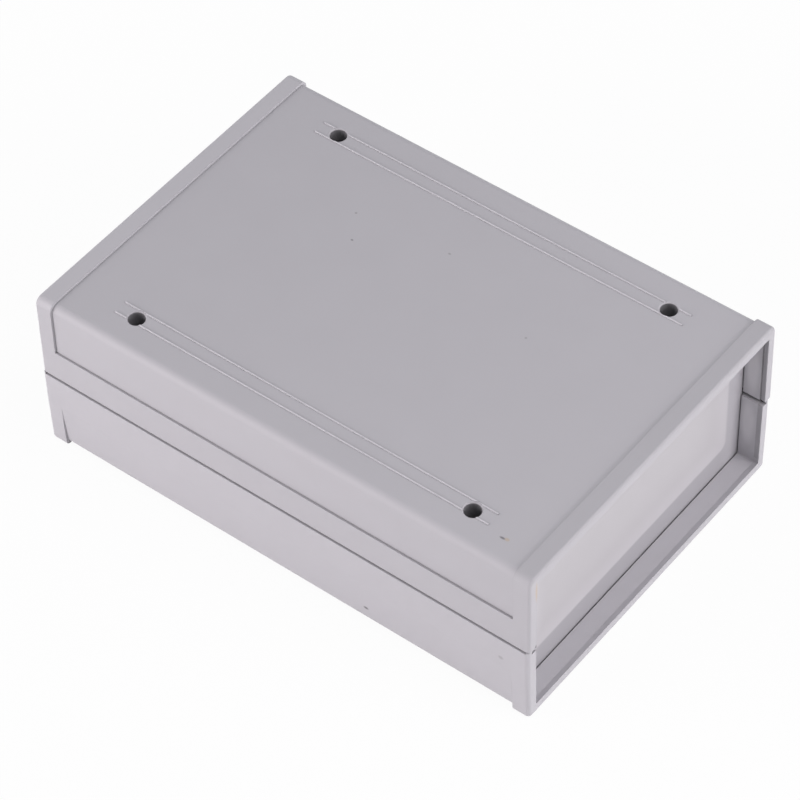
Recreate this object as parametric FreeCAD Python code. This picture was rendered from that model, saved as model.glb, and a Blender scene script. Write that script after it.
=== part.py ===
import FreeCAD, Part
import math
import os

os.makedirs("parts", exist_ok=True)

# A two-part moulded instrument case with a flat panel let into each end.
# Frame: millimetres, X along the length, Y across, Z up, and the origin on the
# table under the middle of the case. The half with the screw holes is on top.

# Driving sizes of the case
CASE_LENGTH = 200.0
CASE_WIDTH = 133.55
CASE_HEIGHT = 68.0
PART_LINE_Z = 33.5
BAND_WIDTH = 6.5
MOULD_DRAFT = 0.3
UPPER_WIDER = 0.3
SHELL_SLIP = 0.66

# Outside of the upper half
UPPER_BAND_CORNER_R = 3.0
UPPER_END_EDGE_R = 1.0
SIDE_LEDGE_ABOVE_PART = 12.5
FIELD_SIDE_DEPTH = 0.75
FIELD_TOP_DEPTH = 0.8
UPPER_FIELD_CORNER_R = 3.0
FIELD_RAMP = 0.2

# Outside of the lower half
LOWER_BAND_CORNER_R = 1.9
LOWER_END_EDGE_R = 1.5
FOOT_HEIGHT = 1.5
LEAN_START_Z = 20.0
LOWER_BAND_DRAFT = 1.4
LOWER_FIELD_DRAFT = 4.0
LOWER_FIELD_CORNER_R = 1.7

# Inside of both halves
SIDE_WALL = 3.7
WALL = 2.2
END_ROOF = 4.0
FLOOR_TOP_Z = 3.6
INNER_DRAFT = 0.5
INNER_CORNER_R = 0.5
LIP_LENGTH = 2.0
SIDE_LIP_RISE = 0.3
FLOOR_LIP_RISE = 0.8
UPPER_MOUTH_STEP = 0.45

# End panels and their slots
PANEL_THICKNESS = 2.0
PANEL_FACE_SETBACK = 9.0
SLOT_DEPTH = 1.1
SLOT_FRONT_GAP = 0.45
SLOT_BACK_GAP = 0.15
PANEL_EDGE_CLEAR = 0.15
PANEL_TOP_CLEAR = 0.3
PANEL_CORNER_R = 1.5
FIN_THICKNESS = 1.8
FIN_REACH = 2.6

# Case screws and the posts they run in
SCREW_X = 68.0
SCREW_Y = 52.7
SCREW_SHANK_D = 2.9
SCREW_REACH = 16.0
SCREW_TIP = 1.6
SCREW_HEAD_D = 5.5
SCREW_HEAD_H = 2.1
SCREW_FIT = 0.05
SCREW_PASS_CLEAR = 0.3
DRIVE_WIDTH = 0.9
DRIVE_REACH = 3.4
DRIVE_DEPTH = 1.3
WELL_D = 6.0
WELL_EDGE = 0.4
WELL_FLOOR = 4.0
POST_D = 9.4
BORE_PAST_TIP = 2.0
GUSSET_THICKNESS = 1.6
GUSSET_DROP = 3.0

# Fine ribs on the screw side
RIB_LENGTH = 151.0
RIB_INNER_Y = 49.4
RIB_OUTER_Y = 54.6
RIB_WIDTH = 0.7
RIB_CREST = 0.35
RIB_HEIGHT = 0.35

# Joint between the halves
OUTER_REVEAL_HEIGHT = 0.5
OUTER_REVEAL_DEPTH = 1.2
OUTER_REVEAL_END = 1.2
INNER_REVEAL_HEIGHT = 1.4
INNER_REVEAL_DEPTH = 1.8
TONGUE_THICKNESS = 0.8
TONGUE_HEIGHT = 1.5
TONGUE_CLEAR = 0.3
TONGUE_LENGTH = 160.0

# Standoffs for a circuit board
STANDOFF_X = 52.0
STANDOFF_Y = 36.0
STANDOFF_D = 6.4
STANDOFF_HEIGHT = 6.0
STANDOFF_BORE_D = 2.5
STANDOFF_BORE_DEPTH = 6.5

# Sizes that follow from the driving sizes
HALF_LENGTH = CASE_LENGTH / 2
HALF_WIDTH = CASE_WIDTH / 2
UPPER_HALF_WIDTH = HALF_WIDTH + UPPER_WIDER / 2
BAND_INNER_X = HALF_LENGTH - BAND_WIDTH
FIELD_X = BAND_INNER_X - FIELD_RAMP
LEDGE_Z = PART_LINE_Z + SIDE_LEDGE_ABOVE_PART
FIELD_TOP_Z = CASE_HEIGHT - FIELD_TOP_DEPTH
INNER_HALF = HALF_WIDTH - SIDE_WALL
END_ROOF_Z = CASE_HEIGHT - END_ROOF
ROOF_Z = FIELD_TOP_Z - WALL
PANEL_FACE_X = HALF_LENGTH - PANEL_FACE_SETBACK
SLOT_OUTER_X = PANEL_FACE_X + SLOT_FRONT_GAP
SLOT_INNER_X = PANEL_FACE_X - PANEL_THICKNESS - SLOT_BACK_GAP
FIN_INNER_X = SLOT_INNER_X - FIN_THICKNESS
SLOT_FLOOR_Z = FLOOR_TOP_Z - SLOT_DEPTH
SCREW_SEAT_Z = PART_LINE_Z + WELL_FLOOR
SCREW_TIP_Z = SCREW_SEAT_Z - SCREW_REACH
PASS_D = SCREW_SHANK_D + 2 * SCREW_PASS_CLEAR
PILOT_D = SCREW_SHANK_D + 2 * SCREW_FIT

UPPER_Y = SHELL_SLIP / 2
LOWER_Y = -SHELL_SLIP / 2

X_AXIS = FreeCAD.Vector(1, 0, 0)
Z_AXIS = FreeCAD.Vector(0, 0, 1)


def v(x, y, z):
    return FreeCAD.Vector(x, y, z)


def lean(height, degrees):
    """How far a drafted wall moves sideways over a height."""
    return height * math.tan(math.radians(degrees))


def rounded_wire(corners, place):
    """A closed wire through corners (a, b, radius), rounded where a radius is given.

    place turns the flat coordinates a, b into a point in space."""
    count = len(corners)
    edges = []
    exits = []
    entries = []
    for i, (a, b, r) in enumerate(corners):
        here = FreeCAD.Vector(a, b, 0)
        prev = FreeCAD.Vector(corners[i - 1][0], corners[i - 1][1], 0)
        nxt = FreeCAD.Vector(corners[(i + 1) % count][0], corners[(i + 1) % count][1], 0)
        to_prev = (prev - here).normalize()
        to_next = (nxt - here).normalize()
        if r > 0:
            half = to_prev.getAngle(to_next) / 2
            reach = r / math.tan(half)
            first = here + to_prev * reach
            last = here + to_next * reach
            middle_way = (to_prev + to_next).normalize()
            crown = here + middle_way * (r / math.sin(half) - r)
            edges.append(("arc", first, crown, last))
        else:
            first = here
            last = here
            edges.append(None)
        entries.append(first)
        exits.append(last)
    made = []
    for i in range(count):
        if edges[i]:
            points = [place(p.x, p.y) for p in edges[i][1:]]
            made.append(Part.Arc(*points).toShape())
        start = exits[i]
        end = entries[(i + 1) % count]
        if (end - start).Length > 1e-6:
            made.append(Part.makeLine(place(start.x, start.y), place(end.x, end.y)))
    return Part.Wire(made)


def cross_wire(x, corners):
    """A rounded outline in the cross plane of the case at x."""
    return rounded_wire(corners, lambda a, b: v(x, a, b))


def bar(corners, x0, x1):
    """A straight length of one cross outline between two stations."""
    face = Part.Face(cross_wire(x0, corners))
    return face.extrude(v(x1 - x0, 0, 0))


def change(corners_a, x0, corners_b, x1):
    """A short length over which one cross outline turns into another."""
    return Part.makeLoft([cross_wire(x0, corners_a), cross_wire(x1, corners_b)], True, True)


def both_ends(solid):
    """The solid and its mirror image at the other end of the case."""
    return [solid, solid.mirror(v(0, 0, 0), X_AXIS)]


def fuse(solids):
    """One clean solid from several that overlap or share faces."""
    body = solids[0].fuse(solids[1:])
    return body.removeSplitter()


def cylinder(x, y, z0, z1, diameter):
    return Part.makeCylinder(diameter / 2, z1 - z0, v(x, y, z0), Z_AXIS)


def turned(points):
    """A solid of revolution about Z from points (radius, height) in order."""
    corners = [v(r, 0, z) for r, z in points]
    wire = Part.makePolygon(corners + corners[:1])
    return Part.Face(wire).revolve(v(0, 0, 0), Z_AXIS, 360)


def at_screws(shape):
    """Copies of a shape made at the origin, set at the four screw places."""
    return [
        shape.translated(v(sx * SCREW_X, sy * SCREW_Y, 0))
        for sx in (-1, 1)
        for sy in (-1, 1)
    ]


# Outlines of the two halves

def upper_outline(z0, side_in, top_in, corner_r):
    """Cross outline of the upper half from z0 up, drafted towards the top."""
    top = CASE_HEIGHT - top_in
    low = UPPER_HALF_WIDTH - lean(z0 - PART_LINE_Z, MOULD_DRAFT) - side_in
    high = UPPER_HALF_WIDTH - lean(top - PART_LINE_Z, MOULD_DRAFT) - side_in
    y = UPPER_Y
    return [(y - low, z0, 0), (y - high, top, corner_r), (y + high, top, corner_r), (y + low, z0, 0)]


def lower_outline(bottom_z, draft, corner_r):
    """Cross outline of the lower half: upright at first, then leaning in to its underside."""
    narrow = HALF_WIDTH - lean(LEAN_START_Z - bottom_z, draft)
    y = LOWER_Y
    return [
        (y - HALF_WIDTH, PART_LINE_Z, 0),
        (y - HALF_WIDTH, LEAN_START_Z, 0),
        (y - narrow, bottom_z, corner_r),
        (y + narrow, bottom_z, corner_r),
        (y + HALF_WIDTH, LEAN_START_Z, 0),
        (y + HALF_WIDTH, PART_LINE_Z, 0),
    ]


def upper_hollow(roof_z, grow):
    """Cross outline of the room inside the upper half, grown outwards by grow."""
    roof = roof_z + grow
    high = INNER_HALF - lean(roof - PART_LINE_Z, INNER_DRAFT) + grow
    low = INNER_HALF + lean(1.0, INNER_DRAFT) + grow
    below = PART_LINE_Z - 1.0
    y = UPPER_Y
    return [
        (y - low, below, 0),
        (y - high, roof, INNER_CORNER_R),
        (y + high, roof, INNER_CORNER_R),
        (y + low, below, 0),
    ]


def lower_hollow(floor_z, grow):
    """Cross outline of the room inside the lower half, grown outwards by grow."""
    y = LOWER_Y
    floor = floor_z - grow
    narrow = INNER_HALF - lean(PART_LINE_Z - floor, INNER_DRAFT) + grow
    wide = INNER_HALF + lean(1.0, INNER_DRAFT) + grow
    above = PART_LINE_Z + 1.0
    return [
        (y - wide, above, 0),
        (y - narrow, floor, INNER_CORNER_R),
        (y + narrow, floor, INNER_CORNER_R),
        (y + wide, above, 0),
    ]


def banded_block(band, field):
    """A block whose two end bands stand proud of the field between them."""
    middle = bar(field, -FIELD_X, FIELD_X)
    ramps = both_ends(change(field, FIELD_X, band, BAND_INNER_X))
    bands = both_ends(bar(band, BAND_INNER_X, HALF_LENGTH))
    return [middle] + ramps + bands


def soften_ends(body, radius):
    """Round the outer edges of both open ends, leaving the parting edge sharp."""
    picked = []
    for edge in body.Edges:
        box = edge.BoundBox
        at_end = min(abs(box.XMin - HALF_LENGTH), abs(box.XMax + HALF_LENGTH)) < 1e-4
        flat = box.XLength < 1e-4
        on_part_line = abs(box.ZMin - PART_LINE_Z) < 1e-4 and abs(box.ZMax - PART_LINE_Z) < 1e-4
        if at_end and flat and not on_part_line:
            picked.append(edge)
    return body.makeFillet(radius, picked)


def end_mouth(hollow, lip_inside, lip_outside):
    """The room in front of a panel: a straight length, then a lip that closes in."""
    straight_end = HALF_LENGTH - LIP_LENGTH
    straight = bar(hollow, SLOT_OUTER_X - 0.1, straight_end)
    lip = change(lip_inside, straight_end, lip_outside, HALF_LENGTH)
    return [straight, lip]


def fin_frame(hollow, opening):
    """The thin frame behind a panel slot, standing in from walls and floor."""
    plate = bar(hollow, FIN_INNER_X, SLOT_INNER_X)
    return plate.cut(bar(opening, FIN_INNER_X - 1, SLOT_INNER_X + 1))


# Upper half

def screw_well():
    """The round well for a screw head, with a bevelled mouth and the screw's passage."""
    r = WELL_D / 2
    top = FIELD_TOP_Z
    mouth = r + WELL_EDGE
    passage = PASS_D / 2
    return turned([
        (0, PART_LINE_Z - 1),
        (passage, PART_LINE_Z - 1),
        (passage, SCREW_SEAT_Z),
        (r, SCREW_SEAT_Z),
        (r, top - WELL_EDGE),
        (mouth, top),
        (mouth, top + 1.0),
        (0, top + 1.0),
    ])


def upper_posts():
    """Four hollow-cored posts under the roof, each tied to the side wall by a web."""
    post = cylinder(0, 0, PART_LINE_Z, ROOF_Z + 0.5, POST_D)
    shapes = at_screws(post)
    web_length = INNER_HALF - SCREW_Y + 0.5
    for sx in (-1, 1):
        for sy in (-1, 1):
            y0 = SCREW_Y if sy > 0 else -SCREW_Y - web_length
            corner = v(sx * SCREW_X - GUSSET_THICKNESS / 2, y0, PART_LINE_Z + GUSSET_DROP)
            web_height = ROOF_Z + 0.5 - PART_LINE_Z - GUSSET_DROP
            shapes.append(Part.makeBox(GUSSET_THICKNESS, web_length, web_height, corner))
    return shapes


def top_ribs():
    """Two pairs of fine raised ribs, narrower at the crown, along the screw side."""
    ribs = []
    foot = RIB_WIDTH / 2
    crest = RIB_CREST / 2
    crown = [
        (-foot, FIELD_TOP_Z - 0.2, 0),
        (-foot, FIELD_TOP_Z, 0),
        (-crest, FIELD_TOP_Z + RIB_HEIGHT, 0),
        (crest, FIELD_TOP_Z + RIB_HEIGHT, 0),
        (foot, FIELD_TOP_Z, 0),
        (foot, FIELD_TOP_Z - 0.2, 0),
    ]
    for y in (-RIB_OUTER_Y, -RIB_INNER_Y, RIB_INNER_Y, RIB_OUTER_Y):
        moved = [(y + a, b, r) for a, b, r in crown]
        ribs.append(bar(moved, -RIB_LENGTH / 2, RIB_LENGTH / 2))
    return ribs


def tongue_room():
    """The rebate along both long walls that takes the lower half's tongues."""
    depth = TONGUE_THICKNESS + SHELL_SLIP + TONGUE_CLEAR
    height = TONGUE_HEIGHT + TONGUE_CLEAR + 1.0
    length = TONGUE_LENGTH + 2 * TONGUE_CLEAR
    rooms = []
    for side in (-1, 1):
        wall = UPPER_Y + side * INNER_HALF
        y0 = wall - 1.0 if side > 0 else wall - depth
        rooms.append(Part.makeBox(length, depth + 1.0, height, v(-length / 2, y0, PART_LINE_Z - 1.0)))
    return rooms


def upper_shell():
    base = bar(upper_outline(PART_LINE_Z, 0, 0, 0), -HALF_LENGTH, HALF_LENGTH)
    spare = v(-HALF_LENGTH - 1, -HALF_WIDTH - 1, LEDGE_Z)
    base = base.cut(Part.makeBox(CASE_LENGTH + 2, CASE_WIDTH + 2, CASE_HEIGHT, spare))
    band = upper_outline(LEDGE_Z, 0, 0, UPPER_BAND_CORNER_R)
    field = upper_outline(LEDGE_Z, FIELD_SIDE_DEPTH, FIELD_TOP_DEPTH, UPPER_FIELD_CORNER_R)
    body = fuse([base] + banded_block(band, field))
    body = soften_ends(body, UPPER_END_EDGE_R)
    mouth = upper_hollow(END_ROOF_Z, 0)
    stepped = upper_hollow(END_ROOF_Z, UPPER_MOUTH_STEP)
    lipped = upper_hollow(END_ROOF_Z, UPPER_MOUTH_STEP - SIDE_LIP_RISE)
    slot = upper_hollow(END_ROOF_Z, SLOT_DEPTH)
    room = upper_hollow(ROOF_Z, 0)
    cuts = [bar(room, -SLOT_INNER_X, SLOT_INNER_X)]
    for piece in end_mouth(mouth, stepped, lipped) + [bar(slot, SLOT_INNER_X, SLOT_OUTER_X)]:
        cuts += both_ends(piece)
    body = body.cut(cuts + tongue_room())
    frames = both_ends(fin_frame(upper_hollow(ROOF_Z, 0.3), upper_hollow(END_ROOF_Z, -FIN_REACH)))
    keep = Part.makeBox(CASE_LENGTH, CASE_WIDTH, CASE_HEIGHT, v(-HALF_LENGTH, -HALF_WIDTH, PART_LINE_Z))
    inner = [f.common(keep) for f in frames] + upper_posts()
    body = fuse([body] + inner + top_ribs())
    body = body.cut(at_screws(screw_well()))
    return body.removeSplitter()


# Lower half

def lower_posts():
    """Four posts that the case screws bite into, tied to the side walls."""
    post = cylinder(0, 0, FLOOR_TOP_Z - 0.5, PART_LINE_Z, POST_D)
    shapes = at_screws(post)
    web_height = PART_LINE_Z - GUSSET_DROP - FLOOR_TOP_Z + 0.5
    for sx in (-1, 1):
        for sy in (-1, 1):
            wall = INNER_HALF + sy * LOWER_Y + 0.3
            length = wall - SCREW_Y
            y0 = SCREW_Y if sy > 0 else -wall
            corner = v(sx * SCREW_X - GUSSET_THICKNESS / 2, y0, FLOOR_TOP_Z - 0.5)
            shapes.append(Part.makeBox(GUSSET_THICKNESS, length, web_height, corner))
    return shapes


def standoff():
    """A round board standoff with a blind hole for a small screw."""
    r = STANDOFF_D / 2
    sunk = FLOOR_TOP_Z - 0.8
    top = FLOOR_TOP_Z + STANDOFF_HEIGHT
    hole = STANDOFF_BORE_D / 2
    floor = top - STANDOFF_BORE_DEPTH
    return turned([(0, sunk), (r, sunk), (r, top), (hole, top), (hole, floor), (0, floor)])


def tongues():
    """Thin tongues on the inner side of the long walls that key into the upper half."""
    made = []
    for side in (-1, 1):
        wall = LOWER_Y + side * INNER_HALF
        y0 = wall if side > 0 else wall - TONGUE_THICKNESS
        corner = v(-TONGUE_LENGTH / 2, y0, PART_LINE_Z - 1.0)
        made.append(Part.makeBox(TONGUE_LENGTH, TONGUE_THICKNESS, TONGUE_HEIGHT + 1.0, corner))
    return made


def reveals():
    """Shallow rebates in the parting edge: outside along both long sides, and
    inside in front of each end panel, where the halves show a dark gap."""
    made = []
    length = CASE_LENGTH - 2 * OUTER_REVEAL_END
    outer_z = PART_LINE_Z - OUTER_REVEAL_HEIGHT
    inner_z = PART_LINE_Z - INNER_REVEAL_HEIGHT
    mouth = PANEL_FACE_SETBACK - SLOT_FRONT_GAP + 1.0
    for side in (-1, 1):
        outside = LOWER_Y + side * HALF_WIDTH
        depth = OUTER_REVEAL_DEPTH
        y0 = outside - depth if side > 0 else outside - 1.0
        made.append(Part.makeBox(length, depth + 1.0, 1.0, v(-length / 2, y0, outer_z)))
        inside = LOWER_Y + side * INNER_HALF
        depth = INNER_REVEAL_DEPTH
        y0 = inside - 1.0 if side > 0 else inside - depth
        made += both_ends(Part.makeBox(mouth, depth + 1.0, 2.0, v(SLOT_OUTER_X, y0, inner_z)))
    return made


def lower_shell():
    band = lower_outline(0, LOWER_BAND_DRAFT, LOWER_BAND_CORNER_R)
    field = lower_outline(FOOT_HEIGHT, LOWER_FIELD_DRAFT, LOWER_FIELD_CORNER_R)
    body = fuse(banded_block(band, field))
    body = soften_ends(body, LOWER_END_EDGE_R)
    mouth = lower_hollow(FLOOR_TOP_Z, 0)
    lipped = lower_hollow(FLOOR_TOP_Z + FLOOR_LIP_RISE - SIDE_LIP_RISE, -SIDE_LIP_RISE)
    slot = lower_hollow(FLOOR_TOP_Z, SLOT_DEPTH)
    cuts = [bar(mouth, -SLOT_INNER_X, SLOT_INNER_X)]
    for piece in end_mouth(mouth, mouth, lipped) + [bar(slot, SLOT_INNER_X, SLOT_OUTER_X)]:
        cuts += both_ends(piece)
    body = body.cut(cuts + reveals())
    frames = both_ends(fin_frame(lower_hollow(FLOOR_TOP_Z, 0.3), lower_hollow(FLOOR_TOP_Z, -FIN_REACH)))
    keep = Part.makeBox(CASE_LENGTH, CASE_WIDTH + 4, PART_LINE_Z, v(-HALF_LENGTH, -HALF_WIDTH - 2, 0))
    inner = [f.common(keep) for f in frames] + lower_posts() + tongues()
    for sx in (-1, 1):
        for sy in (-1, 1):
            inner.append(standoff().translated(v(sx * STANDOFF_X, sy * STANDOFF_Y, 0)))
    body = fuse([body] + inner)
    pilot = cylinder(0, 0, SCREW_TIP_Z - BORE_PAST_TIP, PART_LINE_Z + 1, PILOT_D)
    body = body.cut(at_screws(pilot))
    return body.removeSplitter()


# End panels

def end_panel(side):
    """A flat plate that stands in the slots at one end of the case."""
    drafted = lean(PART_LINE_Z - FLOOR_TOP_Z, INNER_DRAFT)
    half = INNER_HALF + SLOT_DEPTH - drafted - SHELL_SLIP / 2 - PANEL_EDGE_CLEAR
    top = END_ROOF_Z + SLOT_DEPTH - PANEL_TOP_CLEAR
    r = PANEL_CORNER_R
    outline = [(-half, SLOT_FLOOR_Z, r), (-half, top, r), (half, top, r), (half, SLOT_FLOOR_Z, r)]
    plate = bar(outline, PANEL_FACE_X - PANEL_THICKNESS, PANEL_FACE_X)
    if side < 0:
        plate = plate.mirror(v(0, 0, 0), X_AXIS)
    return plate


# Case screws

def case_screw():
    """A pan-head screw with a cross drive, head down in its well and plain shank."""
    r = SCREW_SHANK_D / 2
    head = SCREW_HEAD_D / 2
    top = SCREW_SEAT_Z + SCREW_HEAD_H
    body = turned([
        (0, SCREW_TIP_Z),
        (r - SCREW_TIP / 2, SCREW_TIP_Z),
        (r, SCREW_TIP_Z + SCREW_TIP),
        (r, SCREW_SEAT_Z),
        (head, SCREW_SEAT_Z),
        (head, top),
        (0, top),
    ])
    for turn in (0, 90):
        blade = drive_blade(top)
        blade.rotate(v(0, 0, 0), Z_AXIS, turn)
        body = body.cut(blade)
    return body


def drive_blade(top):
    """One blade of the cross drive, narrowing downwards."""
    wide = DRIVE_REACH / 2
    narrow = wide * 0.45
    half = DRIVE_WIDTH / 2
    side = Part.makePolygon([
        v(-wide, -half, top + 0.2),
        v(wide, -half, top + 0.2),
        v(narrow, -half, top - DRIVE_DEPTH),
        v(-narrow, -half, top - DRIVE_DEPTH),
        v(-wide, -half, top + 0.2),
    ])
    return Part.Face(side).extrude(v(0, DRIVE_WIDTH, 0))


PARTS = {
    "upper_shell": upper_shell,
    "lower_shell": lower_shell,
    "front_panel": lambda: end_panel(1),
    "rear_panel": lambda: end_panel(-1),
    "case_screws": lambda: Part.makeCompound(at_screws(case_screw())),
}

for name, make in PARTS.items():
    shape = make()
    shape.exportStep("parts/" + name + ".step")
    box = shape.BoundBox
    print(name, "solids", len(shape.Solids), "valid", shape.isValid(), "volume", round(shape.Volume, 1))
    print("  x", round(box.XMin, 2), round(box.XMax, 2), "y", round(box.YMin, 2), round(box.YMax, 2))
    print("  z", round(box.ZMin, 2), round(box.ZMax, 2))
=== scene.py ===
# %% [markdown]
# # A moulded instrument case
# The real object is a grey two-part box for electronics. It stands with its
# screw side up. A raised band runs round each end, and a flat panel sits deep
# in each open end.
#
# The CAD model has already given the case its true shape. So this lesson loads
# it as a fixed frame and gives it camera, light and finish. Only the four
# screws are modelled anew, since a thread is too fine for the CAD solids.

# %% Load the frame
import bmesh
import bpy
import math
from mathutils import Matrix, Vector


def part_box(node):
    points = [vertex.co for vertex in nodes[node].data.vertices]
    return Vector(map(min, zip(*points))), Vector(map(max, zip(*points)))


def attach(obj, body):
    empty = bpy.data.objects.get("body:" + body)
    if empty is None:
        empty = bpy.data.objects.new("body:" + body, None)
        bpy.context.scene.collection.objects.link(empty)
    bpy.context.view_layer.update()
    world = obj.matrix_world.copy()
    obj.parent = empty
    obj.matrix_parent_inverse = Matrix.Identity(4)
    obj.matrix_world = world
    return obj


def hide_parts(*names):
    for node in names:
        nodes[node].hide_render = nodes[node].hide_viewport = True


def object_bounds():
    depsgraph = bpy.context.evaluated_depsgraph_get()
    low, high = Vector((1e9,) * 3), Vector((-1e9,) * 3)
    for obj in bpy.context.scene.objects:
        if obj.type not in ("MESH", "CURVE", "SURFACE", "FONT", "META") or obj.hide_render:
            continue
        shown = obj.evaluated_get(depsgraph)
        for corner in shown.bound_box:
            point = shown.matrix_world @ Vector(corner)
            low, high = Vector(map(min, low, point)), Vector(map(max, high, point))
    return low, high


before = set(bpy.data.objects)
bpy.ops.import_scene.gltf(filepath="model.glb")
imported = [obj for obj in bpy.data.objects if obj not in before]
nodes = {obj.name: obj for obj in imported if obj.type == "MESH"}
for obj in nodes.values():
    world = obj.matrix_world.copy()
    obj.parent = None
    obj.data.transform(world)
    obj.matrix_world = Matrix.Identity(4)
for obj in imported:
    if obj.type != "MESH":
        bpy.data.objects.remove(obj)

cad_low, cad_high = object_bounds()
print("solids:", {name: len(node.data.polygons) for name, node in nodes.items()})

# %% [markdown]
# ## Camera
# The photograph looks down on the near long side and on the open end. Its lens
# is long, so the far edges stay almost as long as the near ones. An azimuth and
# an elevation place the camera on a sphere round a target, which is easier to
# adjust than raw coordinates. A small roll tips the picture as in the photo.

# %% Camera
CAMERA_AZIMUTH = 39.0604
CAMERA_ELEVATION = 48.1673
CAMERA_ROLL = 1.9035
CAMERA_DISTANCE = 1.23293
CAMERA_TARGET = Vector((0.001339, -0.004388, 0.0302))
CAMERA_LENS = 168.218
SENSOR_WIDTH = 36.0
NEAREST_SEEN, FARTHEST_SEEN = 0.05, 20.0


def direction(azimuth, elevation):
    """The unit vector that points from the target to a place round it."""
    a, e = math.radians(azimuth), math.radians(elevation)
    return Vector((math.sin(a) * math.cos(e), -math.cos(a) * math.cos(e), math.sin(e)))


def look_along(obj, place, aim):
    """Put a camera or a lamp at a place, with its -Z axis towards the aim."""
    turn = (aim - place).to_track_quat("-Z", "Y").to_matrix().to_4x4()
    obj.matrix_world = Matrix.Translation(place) @ turn


camera = bpy.data.objects.new("camera", bpy.data.cameras.new("camera"))
bpy.context.scene.collection.objects.link(camera)
camera.data.sensor_width = SENSOR_WIDTH
camera.data.lens = CAMERA_LENS
camera.data.clip_start, camera.data.clip_end = NEAREST_SEEN, FARTHEST_SEEN
station = CAMERA_TARGET + direction(CAMERA_AZIMUTH, CAMERA_ELEVATION) * CAMERA_DISTANCE
look_along(camera, station, CAMERA_TARGET)
camera.matrix_world = camera.matrix_world @ Matrix.Rotation(math.radians(-CAMERA_ROLL), 4, "Z")
bpy.context.scene.camera = camera
bpy.context.scene.view_settings.view_transform = "Standard"
print("camera stands at", [round(c, 4) for c in station])

# %% [markdown]
# ## Helpers for node trees
# Every finish here is a tree of shader nodes. A few helpers keep the cells
# short. `add` makes a node and fills in its sockets, each with a value or with a
# link. `maths` and `vector_maths` calculate, and `ramp` turns one range of
# numbers into another.

# %% Helpers for node trees
def fill(tree, socket, value):
    """Join a socket to another one, or give it a value of its own."""
    if isinstance(value, bpy.types.NodeSocket):
        tree.links.new(value, socket)
    else:
        socket.default_value = value


def add(tree, kind, **values):
    """Add a node. Its sockets are named in lower case with underscores."""
    node = tree.nodes.new(kind)
    for name, value in values.items():
        socket = next((s for s in node.inputs if s.name.lower().replace(" ", "_") == name), None)
        if socket is None:
            setattr(node, name, value)
        else:
            fill(tree, socket, value)
    return node


def maths(tree, operation, *terms):
    """A Math node over numbers or sockets, and its result."""
    node = add(tree, "ShaderNodeMath", operation=operation)
    for socket, term in zip(node.inputs, terms):
        fill(tree, socket, term)
    return node.outputs[0]


def vector_maths(tree, operation, *terms):
    """A Vector Math node, and its result: a number for a length or a dot product."""
    node = add(tree, "ShaderNodeVectorMath", operation=operation)
    for socket, term in zip(node.inputs, terms):
        fill(tree, socket, term)
    return node.outputs["Value" if operation in ("LENGTH", "DOT_PRODUCT") else "Vector"]


def ramp(tree, value, start, end, at_start=0.0, at_end=1.0, shape="SMOOTHSTEP"):
    """A number that goes from one level to another while a value does."""
    node = add(
        tree,
        "ShaderNodeMapRange",
        interpolation_type=shape,
        value=value,
        from_min=start,
        from_max=end,
        to_min=at_start,
        to_max=at_end,
    )
    return node.outputs["Result"]


print("calculating helpers ready")

# %% [markdown]
# ## Helpers for places and mixes
# Most patterns on the case depend on the place. Object coordinates give it in
# metres, in the case's own frame, so a pattern stays on the plastic from every
# side. A box of coordinates makes a mask, and a mask blends two colours. Places
# near the end or the top are counted from the frame's own size.

# %% Helpers for places and mixes
END_X, TOP_Z = cad_high.x, cad_high.z
FAR_OUT = 1.0


def object_place(tree):
    """The point on the surface in metres, in the object's own frame."""
    return tree.nodes.new("ShaderNodeTexCoord").outputs["Object"]


def coordinates(tree, place):
    """The X, Y and Z of a point."""
    return add(tree, "ShaderNodeSeparateXYZ", vector=place).outputs[:3]


def inside_box(tree, place, low, high):
    """1 inside a box, 0 outside it. The box is mirrored in X and Y, as the case is."""
    x, y, z = coordinates(tree, place)
    mask = 1.0
    values = (maths(tree, "ABSOLUTE", x), maths(tree, "ABSOLUTE", y), z)
    for value, lowest, highest in zip(values, low, high):
        mask = maths(tree, "MULTIPLY", mask, maths(tree, "GREATER_THAN", value, lowest))
        mask = maths(tree, "MULTIPLY", mask, maths(tree, "LESS_THAN", value, highest))
    return mask


def scaled_colour(tree, colour, factor):
    """A fixed colour made lighter or darker by a factor that varies."""
    node = add(tree, "ShaderNodeVectorMath", operation="SCALE", vector=colour, scale=factor)
    return node.outputs["Vector"]


def blend(tree, share, colour, other):
    """One colour where the share is 0, the other where it is 1."""
    mix = add(tree, "ShaderNodeMix", data_type="RGBA")
    sockets = {socket.identifier: socket for socket in mix.inputs}
    fill(tree, sockets["Factor_Float"], share)
    fill(tree, sockets["A_Color"], colour)
    fill(tree, sockets["B_Color"], other)
    return next(socket for socket in mix.outputs if socket.identifier == "Result_Color")


def mixed_shader(tree, share, shader, other):
    """One shader where the share is 0, the other where it is 1."""
    mix = tree.nodes.new("ShaderNodeMixShader")
    for socket, value in zip(mix.inputs, (share, shader.outputs[0], other.outputs[0])):
        fill(tree, socket, value)
    return mix.outputs[0]


def new_material(name):
    """An empty node material with its output, ready for a finish."""
    material = bpy.data.materials.new(name)
    material.use_nodes = True
    material.node_tree.nodes.clear()
    output = material.node_tree.nodes.new("ShaderNodeOutputMaterial")
    return material, material.node_tree, output


print("end at", round(END_X, 4), "m, top at", round(TOP_Z, 4), "m")

# %% [markdown]
# ## Table
# The case was photographed on a bright white table, and the picture keeps only
# plain white behind it. Light that falls on the case must not change for that.
# So the table is an ordinary white surface for all diffuse light. The camera
# and mirror-like reflections see almost plain white. Near the case a trace of
# the table's own shade is left in it, so that the case keeps a faint shadow.
# Farther out the trace fades, and the table has no edge against the sky.

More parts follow.
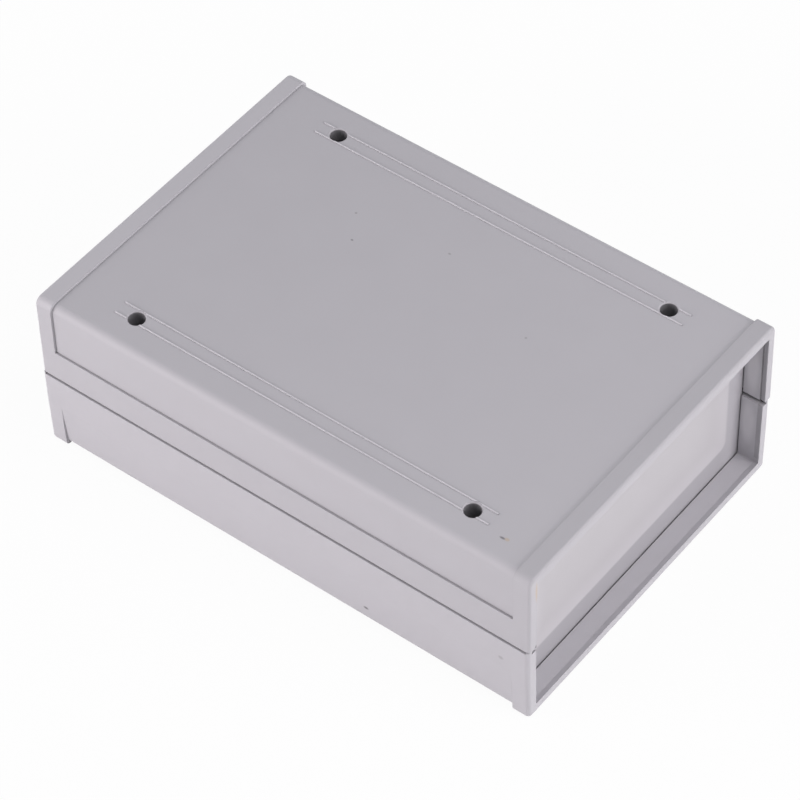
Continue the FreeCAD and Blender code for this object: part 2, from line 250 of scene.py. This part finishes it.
# %% Table
TABLE_SIZE = 8.0
TABLE_COLOUR = (0.82, 0.82, 0.82, 1.0)
TABLE_SHADE_LEFT = 0.05
SHADE_FADES_FROM, SHADE_FADES_TO = 0.18, 0.5
PLAIN_WHITE = (1.0, 1.0, 1.0, 1.0)


def seen_directly(tree):
    """1 for rays that come from the camera, a reflection or through glass."""
    path = tree.nodes.new("ShaderNodeLightPath")
    direct = maths(tree, "MAXIMUM", path.outputs["Is Camera Ray"], path.outputs["Is Glossy Ray"])
    return maths(tree, "MAXIMUM", direct, path.outputs["Is Transmission Ray"])


def white_share(tree):
    """How much plain white covers the table's shade: all of it far from the case."""
    radius = vector_maths(tree, "LENGTH", object_place(tree))
    least = 1.0 - TABLE_SHADE_LEFT
    return ramp(tree, radius, SHADE_FADES_FROM, SHADE_FADES_TO, least, 1.0, "LINEAR")


def table_material():
    """Matt white for the light, plain white for the eye."""
    material, tree, output = new_material("white_table")
    matt = add(tree, "ShaderNodeBsdfDiffuse", color=TABLE_COLOUR)
    white = add(tree, "ShaderNodeEmission", color=PLAIN_WHITE, strength=1.0)
    share = maths(tree, "MULTIPLY", seen_directly(tree), white_share(tree))
    tree.links.new(mixed_shader(tree, share, matt, white), output.inputs["Surface"])
    return material


def table_mesh():
    """One large square on the floor."""
    half = TABLE_SIZE / 2
    mesh = bpy.data.meshes.new("table")
    corners = [(-half, -half, 0), (half, -half, 0), (half, half, 0), (-half, half, 0)]
    mesh.from_pydata(corners, [], [(0, 1, 2, 3)])
    return mesh


table = bpy.data.objects.new("table", table_mesh())
bpy.context.scene.collection.objects.link(table)
table.data.materials.append(table_material())
print("table of", TABLE_SIZE, "m")

# %% [markdown]
# ## Light
# The greys of the photo tell where the light stood. The end face and the near
# side are bright, the top is darker, and the near side fades a little towards
# the open end. So one soft box stood left of the near side, and two beside the
# open end, low and high. All three are faintly pink, as the plastic looks pinker
# where they reach it. The room gave an even light from all round, least from the
# place where the camera stood, and the world is darker there.

# %% Light
ROOM_COLOUR = (0.985, 0.998, 1.035, 1.0)
ROOM_STRENGTH = 0.55
PINK, FAINT_PINK = (1.0, 0.94, 0.96), (1.0, 0.965, 0.985)
SOFT_BOXES = {
    "near_side_box": {"azimuth": -32.0, "elevation": 14.0, "power": 8.6, "colour": PINK},
    "open_end_box": {"azimuth": 99.0, "elevation": 14.0, "power": 7.2, "colour": FAINT_PINK},
    "high_end_box": {"azimuth": 90.0, "elevation": 60.0, "power": 3.4, "colour": FAINT_PINK},
}
SOFT_BOX_DISTANCE = 1.1
SOFT_BOX_SIZE = 0.7
DARK_SPOT_CENTRE = (39.0, 42.0)
DARK_SPOT_INNER = 20.0
DARK_SPOT_OUTER = 60.0
DARK_SPOT_STRENGTH = 0.12


def room_strength(tree):
    """The room's even light, weaker round the place where the camera stood."""
    sky = tree.nodes.new("ShaderNodeTexCoord").outputs["Generated"]
    facing = vector_maths(tree, "DOT_PRODUCT", sky, direction(*DARK_SPOT_CENTRE))
    outer, inner = (math.cos(math.radians(a)) for a in (DARK_SPOT_OUTER, DARK_SPOT_INNER))
    return ramp(tree, facing, outer, inner, ROOM_STRENGTH, DARK_SPOT_STRENGTH)


def studio_world():
    """Plain white behind the case, and the room's light round it."""
    world = bpy.data.worlds.new("studio")
    world.use_nodes = True
    tree = world.node_tree
    tree.nodes.clear()
    output = tree.nodes.new("ShaderNodeOutputWorld")
    room = add(tree, "ShaderNodeBackground", color=ROOM_COLOUR, strength=room_strength(tree))
    white = add(tree, "ShaderNodeBackground", color=PLAIN_WHITE, strength=1.0)
    camera_ray = tree.nodes.new("ShaderNodeLightPath").outputs["Is Camera Ray"]
    tree.links.new(mixed_shader(tree, camera_ray, room, white), output.inputs["Surface"])
    return world


def soft_box(name, azimuth, elevation, power, colour):
    """A square area lamp that faces the middle of the case."""
    lamp = bpy.data.lights.new(name, "AREA")
    lamp.shape = "SQUARE"
    lamp.size = SOFT_BOX_SIZE
    lamp.energy = power
    lamp.color = colour
    obj = bpy.data.objects.new(name, lamp)
    bpy.context.scene.collection.objects.link(obj)
    middle = (cad_low + cad_high) / 2
    look_along(obj, middle + direction(azimuth, elevation) * SOFT_BOX_DISTANCE, middle)
    return obj


bpy.context.scene.world = studio_world()
for name, setting in SOFT_BOXES.items():
    soft_box(name, **setting)
print("lamps:", sorted(SOFT_BOXES))

# %% [markdown]
# ## Grey ABS plastic
# The shells are ABS straight from the mould: one even grey, with a smooth satin
# skin and no grain that the eye can count. A Principled shader with middling
# roughness gives the broad, soft gloss. A faint cloud in the colour and a very
# shallow bump keep it from looking like a flat computer grey.
#
# The photo is darker where two faces meet in a groove or at the foot of a rib, where shade
# falls, so shade is painted there. An Ambient Occlusion node with a reach below one millimetre
# finds those places. On top, the photo hardly shows the step of the open end's band, so a box
# leaves that step out. The lower half is painted slightly lighter than the upper on every face,
# as painted light from the bright table below.

# %% Grey ABS plastic
ABS_COLOUR = (0.478, 0.468, 0.494)
# Painted light: the lower half is lighter, as if lit from the table below.
LOWER_SHELL_PAINTED_LIGHT = 1.06
ABS_ROUGHNESS = 0.55
PLASTIC_IOR = 1.5
CLOUD_SCALE, CLOUD_DETAIL, CLOUD_DEPTH = 60.0, 3.0, 0.02
SATIN_SCALE, SATIN_DETAIL = 2600.0, 2.0
SATIN_BUMP, SATIN_HEIGHT = 0.04, 0.0001
EDGE_ROUNDING = 0.00008
CREVICE_REACH, CREVICE_SAMPLES = 0.0006, 6
# Painted shade: how strongly grooves and inner corners are darkened.
CREVICE_PAINTED_SHADE = 0.75
FAINT_STEP_LOW = (END_X - 0.0120, -FAR_OUT, TOP_Z - 0.0016)
FAINT_STEP_HIGH = (END_X - 0.0055, 0.0625, FAR_OUT)


def satin_normal(tree, place):
    """The moulded skin's fine unevenness, over edges that are not razor sharp."""
    soft_edge = add(tree, "ShaderNodeBevel", radius=EDGE_ROUNDING)
    grain = add(tree, "ShaderNodeTexNoise", vector=place, scale=SATIN_SCALE, detail=SATIN_DETAIL)
    bump = add(
        tree,
        "ShaderNodeBump",
        strength=SATIN_BUMP,
        distance=SATIN_HEIGHT,
        height=grain.outputs[0],
        normal=soft_edge.outputs[0],
    )
    return bump.outputs[0]


def crevice_shade_factor(tree, place):
    """1 on open surfaces, less in grooves and along inner corners, where shade is painted."""
    near = add(
        tree, "ShaderNodeAmbientOcclusion", distance=CREVICE_REACH, samples=CREVICE_SAMPLES
    )
    hidden = maths(tree, "SUBTRACT", 1.0, near.outputs["AO"])
    open_end = maths(tree, "GREATER_THAN", coordinates(tree, place)[0], 0.0)
    at_step = inside_box(tree, place, FAINT_STEP_LOW, FAINT_STEP_HIGH)
    faint = maths(tree, "MULTIPLY", at_step, open_end)
    # Painted shade in grooves and inner corners, left out at the open end's band step.
    painted_shade = maths(tree, "MULTIPLY_ADD", faint, -CREVICE_PAINTED_SHADE, CREVICE_PAINTED_SHADE)
    return maths(tree, "SUBTRACT", 1.0, maths(tree, "MULTIPLY", painted_shade, hidden))


print("ABS grey", ABS_COLOUR)

# %% [markdown]
# ## Marks
# The photographed case is used, and a few small marks show it: chips, specks, a yellowish scuff,
# and a pale smear on the lower far wall of the recess. A pale patch on the upper far wall is
# painted light, where that wall is lighter in its middle. Each one is a soft ellipsoid round a
# point of the surface, with a colour and a strength. Inside it the plastic's grey blends towards
# that colour.

# %% Marks
MARK_SOFT_EDGE = 0.5
CHIP, DUST, SCUFF = (0.10, 0.09, 0.10), (0.27, 0.26, 0.27), (0.50, 0.39, 0.27)
SMEAR_AND_PAINTED_LIGHT = (0.70, 0.685, 0.71)
MARKS_MM = [
    # centre, radii, colour, strength
    ((34.6, -66.3, 7.5), (0.9, 2.0, 0.6), CHIP, 0.8),
    ((89.3, -66.9, 24.4), (0.9, 2.0, 0.7), DUST, 0.5),
    ((82.1, -56.3, 67.3), (1.0, 0.4, 1.0), CHIP, 0.7),
    ((83.6, -56.0, 67.3), (0.8, 0.6, 1.0), SCUFF, 0.6),
    ((-33.7, 16.5, 67.2), (0.45, 0.35, 1.0), CHIP, 0.6),
    ((-40.3, 27.1, 67.2), (0.4, 0.4, 1.0), DUST, 0.7),
    ((-4.0, 30.5, 67.2), (0.5, 0.35, 1.0), DUST, 0.7),
    ((38.4, 15.1, 67.2), (0.4, 0.4, 1.0), DUST, 0.6),
    ((100.0, -63.1, 60.6), (2.0, 0.5, 4.0), SCUFF, 0.6),
    ((100.0, -62.8, 33.8), (2.0, 0.9, 0.9), CHIP, 0.7),
    # Painted light: the lighter middle of the upper far wall.
    ((94.8, 63.4, 47.0), (2.4, 1.5, 11.0), SMEAR_AND_PAINTED_LIGHT, 0.55),
    ((94.6, 62.8, 21.0), (2.4, 1.5, 9.0), SMEAR_AND_PAINTED_LIGHT, 0.6),
]


def with_mark(tree, place, colour, centre, radii, mark_colour, strength):
    """Blend a mark's colour into the surface colour round its centre."""
    offset = vector_maths(tree, "SUBTRACT", place, [c / 1000 for c in centre])
    scaled = vector_maths(tree, "DIVIDE", offset, [r / 1000 for r in radii])
    distance = vector_maths(tree, "LENGTH", scaled)
    cover = ramp(tree, distance, 1 - MARK_SOFT_EDGE, 1 + MARK_SOFT_EDGE, strength, 0.0)
    return blend(tree, cover, colour, (*mark_colour, 1.0))


print("marks:", len(MARKS_MM))

# %% [markdown]
# ## Painted highlight and shade
# The four fine ribs on top are lighter than the field, as their flanks catch the light, so a
# highlight is painted on them. The joint between the halves is black where it shows in front of
# the panels, and the walls of the screw wells are nearly black: both are painted shadow, where
# light can't reach. The mouth of the recess and the flat end faces are painted a little darker
# than the rest, as painted shade. The photo can't tell dirt from shade, so each of these places
# is simply a box with a tone that multiplies the plastic's grey.

# %% Painted highlight and shade
JOINT_Z = TOP_Z / 2
WELL_X, WELL_Y, WELL_REACH = 0.068, 0.0527, 0.00305
# Painted highlight on the ribs, painted shadow in the joint and the wells, painted shade at the
# mouth and on the end faces.
PAINTED_LIGHT_AND_SHADE = {
    # low corner, high corner, tone
    "ribs": ((0.0, 0.047, TOP_Z - 0.0006), (0.076, 0.057, TOP_Z - 0.0002), 1.28),
    "joint": (
        (END_X - 0.0095, 0.060, JOINT_Z - 0.0019),
        (END_X - 0.0007, 0.0659, JOINT_Z - 0.0004),
        0.25,
    ),
    "mouth": ((END_X - 0.0021, 0.0605, 0.0060), (END_X - 0.0004, 0.0659, TOP_Z - 0.0050), 0.78),
    "wells": (
        (WELL_X - WELL_REACH, WELL_Y - WELL_REACH, JOINT_Z + 0.0030),
        (WELL_X + WELL_REACH, WELL_Y + WELL_REACH, TOP_Z - 0.0013),
        0.5,
    ),
    "end_faces": ((END_X - 0.0003, -FAR_OUT, -FAR_OUT), (FAR_OUT, FAR_OUT, FAR_OUT), 0.96),
}


def painted_light_and_shade_factor(tree, place):
    """Above 1 on the ribs, a painted highlight; below 1 in the painted shadow and shade; 1
    elsewhere.
    """
    factor = 1.0
    for low, high, tone in PAINTED_LIGHT_AND_SHADE.values():
        mask = inside_box(tree, place, low, high)
        factor = maths(tree, "MULTIPLY_ADD", mask, tone - 1.0, factor)
    return factor


print("tones:", {name: tone for name, (low, high, tone) in PAINTED_LIGHT_AND_SHADE.items()})

# %% [markdown]
# ## Band tops and shell material
# In the photo the top of the open end's band is a little darker than this light would make it,
# and the top of the other band a little lighter, so the first gets painted shade and the other
# painted light. All the factors, painted light and shade among them, are multiplied into one
# grey, and the marks lie over it.

# %% Band tops
BAND_INNER_X = END_X - 0.0066
BAND_TOP_FROM, BAND_TOP_TO = TOP_Z - 0.0025, TOP_Z - 0.0002
# Painted shade on the open end's band top, painted light on the other band top.
OPEN_END_PAINTED_SHADE, OTHER_END_PAINTED_LIGHT = 0.92, 1.06


def band_top_light_and_shade(tree, place):
    """Painted shade, below 1, on top of the open end's band; painted light, above 1, on top of
    the other one.
    """
    x, _, z = coordinates(tree, place)
    open_end = maths(tree, "GREATER_THAN", x, BAND_INNER_X)
    other_end = maths(tree, "LESS_THAN", x, -BAND_INNER_X)
    change = maths(tree, "MULTIPLY", open_end, OPEN_END_PAINTED_SHADE - 1.0)
    change = maths(tree, "MULTIPLY_ADD", other_end, OTHER_END_PAINTED_LIGHT - 1.0, change)
    on_top = ramp(tree, z, BAND_TOP_FROM, BAND_TOP_TO)
    return maths(tree, "MULTIPLY_ADD", change, on_top, 1.0)


print("band tops from", round(BAND_TOP_FROM, 4), "m up")

# %% Shell material
def cloud_factor(tree, place):
    """A number near 1 that drifts slowly over the surface."""
    cloud = add(tree, "ShaderNodeTexNoise", vector=place, scale=CLOUD_SCALE, detail=CLOUD_DETAIL)
    return maths(tree, "MULTIPLY_ADD", cloud.outputs[0], 2 * CLOUD_DEPTH, 1 - CLOUD_DEPTH)


def plastic(tree, place, colour, roughness):
    """The moulded plastic's shader, with a colour that varies."""
    skin = add(
        tree,
        "ShaderNodeBsdfPrincipled",
        base_color=colour,
        roughness=roughness,
        ior=PLASTIC_IOR,
        normal=satin_normal(tree, place),
    )
    return skin.outputs[0]


def shell_material(name, tone):
    """The plastic of one half, with its painted light and shade, and its marks."""
    material, tree, output = new_material(name)
    place = object_place(tree)
    factor = tone
    for part in (cloud_factor, crevice_shade_factor, painted_light_and_shade_factor, band_top_light_and_shade):
        factor = maths(tree, "MULTIPLY", part(tree, place), factor)
    colour = scaled_colour(tree, ABS_COLOUR, factor)
    for mark in MARKS_MM:
        colour = with_mark(tree, place, colour, *mark)
    tree.links.new(plastic(tree, place, colour, ABS_ROUGHNESS), output.inputs["Surface"])
    return material


def dress(name, material):
    """Give a CAD node one material."""
    nodes[name].data.materials.clear()
    nodes[name].data.materials.append(material)


for name, tone in (("upper_shell", 1.0), ("lower_shell", LOWER_SHELL_PAINTED_LIGHT)):
    dress(name, shell_material("grey_abs_" + name, tone))
print("shell material on both halves")

# %% [markdown]
# ## Panels
# The panel in the open end has a bright, smooth middle and a darker border, about 9 mm wide. The
# photo shows no step between them, so the border is only a darker grey, and the hidden panel
# gets the same. It is a mask: the distance to a rounded rectangle, worked out from Object
# coordinates, mixes two greys. In the photo the middle stays equally bright right up to its
# border, and the upright strip of the border is no darker than the low one, although the walls
# of the recess shade them. So light is painted into both greys there, against that shade.

# %% Panel material
PANEL_COLOUR = (0.455, 0.441, 0.46)
PANEL_BORDER_COLOUR = (0.375, 0.366, 0.388)
# Painted light on the panel near its border, against the shade of the recess walls.
EDGE_PAINTED_LIGHT, EDGE_PAINTED_LIGHT_REACH = 1.13, 0.010
SIDE_PAINTED_LIGHT, SIDE_PAINTED_LIGHT_REACH = 1.14, 0.004
BRIGHT_HALF_WIDTH = 0.0552
BRIGHT_LOW = 0.0133
BRIGHT_HIGH = 0.0562
BRIGHT_CORNER = 0.003
BRIGHT_EDGE = 0.0008
PANEL_ROUGHNESS = 0.38


def border_distance(tree, place):
    """Metres from the bright middle's edge, less than 0 inside it."""
    _, y, z = coordinates(tree, place)
    centre = (BRIGHT_LOW + BRIGHT_HIGH) / 2
    half_height = (BRIGHT_HIGH - BRIGHT_LOW) / 2
    across = maths(tree, "ABSOLUTE", y)
    across = maths(tree, "SUBTRACT", across, BRIGHT_HALF_WIDTH - BRIGHT_CORNER)
    up = maths(tree, "ABSOLUTE", maths(tree, "SUBTRACT", z, centre))
    up = maths(tree, "SUBTRACT", up, half_height - BRIGHT_CORNER)
    across_squared = maths(tree, "POWER", maths(tree, "MAXIMUM", across, 0.0), 2.0)
    up_squared = maths(tree, "POWER", maths(tree, "MAXIMUM", up, 0.0), 2.0)
    round_part = maths(tree, "SQRT", maths(tree, "ADD", across_squared, up_squared))
    flat_part = maths(tree, "MINIMUM", maths(tree, "MAXIMUM", across, up), 0.0)
    return maths(tree, "SUBTRACT", maths(tree, "ADD", round_part, flat_part), BRIGHT_CORNER)


def side_painted_light(tree, place):
    """Painted light, above 1, along the upright strips of the border."""
    across = maths(tree, "ABSOLUTE", coordinates(tree, place)[1])
    start, end = BRIGHT_HALF_WIDTH - SIDE_PAINTED_LIGHT_REACH, BRIGHT_HALF_WIDTH + SIDE_PAINTED_LIGHT_REACH
    return ramp(tree, across, start, end, 1.0, SIDE_PAINTED_LIGHT)


def panel_material():
    """The plastic of a panel, bright in the middle."""
    material, tree, output = new_material("grey_abs_panel")
    place = object_place(tree)
    cloud = cloud_factor(tree, place)
    distance = border_distance(tree, place)
    # Painted light on the middle near its border.
    edge_painted_light = ramp(tree, distance, -EDGE_PAINTED_LIGHT_REACH, 0.0, 1.0, EDGE_PAINTED_LIGHT)
    middle = scaled_colour(tree, PANEL_COLOUR, maths(tree, "MULTIPLY", cloud, edge_painted_light))
    sides = maths(tree, "MULTIPLY", cloud, side_painted_light(tree, place))
    border = scaled_colour(tree, PANEL_BORDER_COLOUR, sides)
    colour = blend(tree, ramp(tree, distance, -BRIGHT_EDGE, BRIGHT_EDGE), middle, border)
    tree.links.new(plastic(tree, place, colour, PANEL_ROUGHNESS), output.inputs["Surface"])
    return material


panel_abs = panel_material()
for name in ("front_panel", "rear_panel"):
    dress(name, panel_abs)
print("panel material on both panels")

# %% [markdown]
# ## One screw
# The four screws are alike, so one is made and then repeated. Its blank is a
# profile turned round the Z axis: point, core and a pan head with a rounded rim.
# Two tapered blades cut the cross into the head. The CAD node's own box gives
# the height of head and tip and the spread of the four screws.

# %% Screw blank
HEAD_RADIUS = 0.00275
HEAD_HEIGHT = 0.0021
HEAD_UPRIGHT = 0.0009
HEAD_ROUNDING = 0.0012
CORE_RADIUS = 0.00105
POINT_LENGTH = 0.0016
POINT_RADIUS = 0.0005
TURN_STEPS = 48
ROUNDING_STEPS = 6
screw_low, screw_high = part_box("case_screws")
seat_z = screw_high.z - HEAD_HEIGHT


def screw_profile():
    """Radius and height of the blank, from the tip up to the top of the head."""
    points = [
        (POINT_RADIUS, screw_low.z),
        (CORE_RADIUS, screw_low.z + POINT_LENGTH),
        (CORE_RADIUS, seat_z),
        (HEAD_RADIUS, seat_z),
    ]
    for step in range(ROUNDING_STEPS + 1):
        angle = math.pi / 2 * step / ROUNDING_STEPS
        radius = HEAD_RADIUS - HEAD_ROUNDING * (1 - math.cos(angle))
        height = seat_z + HEAD_UPRIGHT + (HEAD_HEIGHT - HEAD_UPRIGHT) * math.sin(angle)
        points.append((radius, height))
    return points


def turned_mesh(name, profile):
    """A closed mesh: rings of points round Z, joined by quads, with flat ends."""
    form = bmesh.new()
    rings = []
    for radius, height in profile:
        angles = [2 * math.pi * step / TURN_STEPS for step in range(TURN_STEPS)]
        points = [(radius * math.cos(a), radius * math.sin(a), height) for a in angles]
        rings.append([form.verts.new(point) for point in points])
    for low, high in zip(rings, rings[1:]):
        for i in range(TURN_STEPS):
            j = (i + 1) % TURN_STEPS
            form.faces.new((low[i], low[j], high[j], high[i]))
    form.faces.new(reversed(rings[0]))
    form.faces.new(rings[-1])
    mesh = bpy.data.meshes.new(name)
    form.to_mesh(mesh)
    form.free()
    return mesh


blank = bpy.data.objects.new("screw_blank", turned_mesh("screw_blank", screw_profile()))
bpy.context.scene.collection.objects.link(blank)
print("blank faces:", len(blank.data.polygons))

# %% Cross drive
DRIVE_REACH = 0.0034
DRIVE_WIDTH = 0.0009
DRIVE_DEPTH = 0.0013
DRIVE_TAPER = 0.45
DRIVE_OVERSHOOT = 0.0002


def blade_mesh(quarter_turn):
    """One blade of the driver, wide at the top and narrow at the bottom."""
    form = bmesh.new()
    bottom, top = screw_high.z - DRIVE_DEPTH, screw_high.z + DRIVE_OVERSHOOT
    for height, scale in ((bottom, DRIVE_TAPER), (top, 1.0)):
        reach, half = DRIVE_REACH / 2 * scale, DRIVE_WIDTH / 2 * scale
        for x, y in ((-reach, -half), (reach, -half), (reach, half), (-reach, half)):
            form.verts.new((-y, x, height) if quarter_turn else (x, y, height))
    bmesh.ops.convex_hull(form, input=form.verts)
    mesh = bpy.data.meshes.new("blade")
    form.to_mesh(mesh)
    form.free()
    return mesh


def plain_mesh(obj):
    """The object's mesh with its modifiers worked in."""
    graph = bpy.context.evaluated_depsgraph_get()
    return bpy.data.meshes.new_from_object(obj.evaluated_get(graph))


for quarter_turn in (False, True):
    blade = bpy.data.objects.new("blade", blade_mesh(quarter_turn))
    bpy.context.scene.collection.objects.link(blade)
    cut = blank.modifiers.new("cross", "BOOLEAN")
    cut.operation = "DIFFERENCE"
    cut.solver = "EXACT"
    cut.object = blade
    blank_mesh = plain_mesh(blank)
    blank.modifiers.clear()
    blank.data = blank_mesh
    bpy.data.objects.remove(blade)
print("blank with cross:", len(blank.data.polygons), "faces")

# %% [markdown]
# ## Thread and four copies
# Geometry Nodes do the rest. A spiral curve carries a small diamond profile,
# which makes the thread. It is joined with the blank and set on four points of
# a grid. Each screw is turned by a random angle, as nobody lines them up.

# %% Screw nodes
THREAD_LENGTH = 0.0132
THREAD_FROM_TIP = 0.7
SCREW_SIZES = {
    "Spread X": 2 * (screw_high.x - HEAD_RADIUS),
    "Spread Y": 2 * (screw_high.y - HEAD_RADIUS),
    "Pitch": 0.0013,
    "Core Radius": CORE_RADIUS,
    "Ridge": 0.00039,
    "Thread Start": screw_low.z + POINT_LENGTH * THREAD_FROM_TIP,
    "Thread Length": THREAD_LENGTH,
}
SCREW_SEED = 7
THREAD_STEPS = 32
DIAMOND_CORNERS = 4
THREAD_RUN_OUT, THREAD_END = 12.0, 0.1


def thread(tree, sizes):
    """A diamond ridge along a spiral, thinned out at both ends."""
    turns = maths(tree, "DIVIDE", sizes["Thread Length"], sizes["Pitch"])
    spiral = add(
        tree,
        "GeometryNodeCurveSpiral",
        resolution=THREAD_STEPS,
        rotations=turns,
        start_radius=sizes["Core Radius"],
        end_radius=sizes["Core Radius"],
        height=sizes["Thread Length"],
    )
    upright = add(tree, "GeometryNodeSetCurveNormal", curve=spiral.outputs[0], mode="Z_UP")
    along = tree.nodes.new("GeometryNodeSplineParameter").outputs["Factor"]
    end = maths(tree, "MINIMUM", along, maths(tree, "SUBTRACT", 1.0, along))
    swell = maths(tree, "MULTIPLY_ADD", end, THREAD_RUN_OUT, THREAD_END)
    swell = maths(tree, "MINIMUM", swell, 1.0)
    tapered = add(tree, "GeometryNodeSetCurveRadius", curve=upright.outputs[0], radius=swell)
    diamond = add(
        tree,
        "GeometryNodeCurvePrimitiveCircle",
        resolution=DIAMOND_CORNERS,
        radius=sizes["Ridge"],
    )
    ridge = add(tree, "GeometryNodeCurveToMesh", curve=tapered.outputs[0], fill_caps=True)
    tree.links.new(diamond.outputs[0], ridge.inputs["Profile Curve"])
    raised = add(tree, "ShaderNodeCombineXYZ", z=sizes["Thread Start"])
    moved = add(
        tree,
        "GeometryNodeTransform",
        geometry=ridge.outputs[0],
        translation=raised.outputs[0],
    )
    return moved.outputs[0]


def screw_tree():
    """Join the thread with the blank and set four copies on a grid."""
    tree = bpy.data.node_groups.new("four_screws", "GeometryNodeTree")
    tree.interface.new_socket("Geometry", in_out="INPUT", socket_type="NodeSocketGeometry")
    for name in SCREW_SIZES:
        tree.interface.new_socket(name, in_out="INPUT", socket_type="NodeSocketFloat")
    tree.interface.new_socket("Seed", in_out="INPUT", socket_type="NodeSocketInt")
    tree.interface.new_socket("Finish", in_out="INPUT", socket_type="NodeSocketMaterial")
    tree.interface.new_socket("Geometry", in_out="OUTPUT", socket_type="NodeSocketGeometry")
    given = tree.nodes.new("NodeGroupInput").outputs
    joined = tree.nodes.new("GeometryNodeJoinGeometry")
    tree.links.new(given["Geometry"], joined.inputs[0])
    tree.links.new(thread(tree, given), joined.inputs[0])
    grid = add(tree, "GeometryNodeMeshGrid", vertices_x=2, vertices_y=2)
    tree.links.new(given["Spread X"], grid.inputs["Size X"])
    tree.links.new(given["Spread Y"], grid.inputs["Size Y"])
    angle = add(tree, "FunctionNodeRandomValue", data_type="FLOAT", seed=given["Seed"])
    turn = maths(tree, "MULTIPLY", angle.outputs[1], math.pi / 2)
    about_z = add(tree, "ShaderNodeCombineXYZ", z=turn)
    rotation = add(tree, "FunctionNodeEulerToRotation", euler=about_z.outputs[0])
    copies = add(
        tree,
        "GeometryNodeInstanceOnPoints",
        points=grid.outputs["Mesh"],
        instance=joined.outputs[0],
        rotation=rotation.outputs[0],
    )
    real = add(tree, "GeometryNodeRealizeInstances", geometry=copies.outputs[0])
    dressed = add(tree, "GeometryNodeSetMaterial", geometry=real.outputs[0])
    tree.links.new(given["Finish"], dressed.inputs["Material"])
    result = tree.nodes.new("NodeGroupOutput")
    tree.links.new(dressed.outputs[0], result.inputs[0])
    return tree


print("sizes for the nodes:", {name: round(value, 5) for name, value in SCREW_SIZES.items()})

# %% Screws
ZINC_COLOUR = (0.50, 0.49, 0.47, 1.0)
ZINC_ROUGHNESS = 0.38
SMOOTH_BELOW = math.radians(35)


def zinc_material():
    """Zinc-plated steel: a metal with a soft gloss."""
    material, tree, output = new_material("zinc_plated_steel")
    skin = add(
        tree,
        "ShaderNodeBsdfPrincipled",
        base_color=ZINC_COLOUR,
        metallic=1.0,
        roughness=ZINC_ROUGHNESS,
    )
    tree.links.new(skin.outputs[0], output.inputs["Surface"])
    return material


def four_screws(source):
    """Run the node tree over the blank and keep the result as a plain mesh."""
    tree = screw_tree()
    nodes_modifier = source.modifiers.new("four_screws", "NODES")
    nodes_modifier.node_group = tree
    values = dict(SCREW_SIZES, Seed=SCREW_SEED, Finish=zinc_material())
    for item in tree.interface.items_tree:
        if item.in_out == "INPUT" and item.name in values:
            nodes_modifier[item.identifier] = values[item.name]
    mesh = plain_mesh(source)
    source.modifiers.clear()
    mesh.name = "case_screws_dressed"
    mesh.shade_smooth()
    mesh.set_sharp_from_angle(angle=SMOOTH_BELOW)
    piece = bpy.data.objects.new(mesh.name, mesh)
    bpy.context.scene.collection.objects.link(piece)
    return piece


screws = four_screws(blank)
bpy.data.objects.remove(blank)
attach(screws, "cover")
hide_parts("case_screws")
print("screws:", len(screws.data.polygons), "faces")
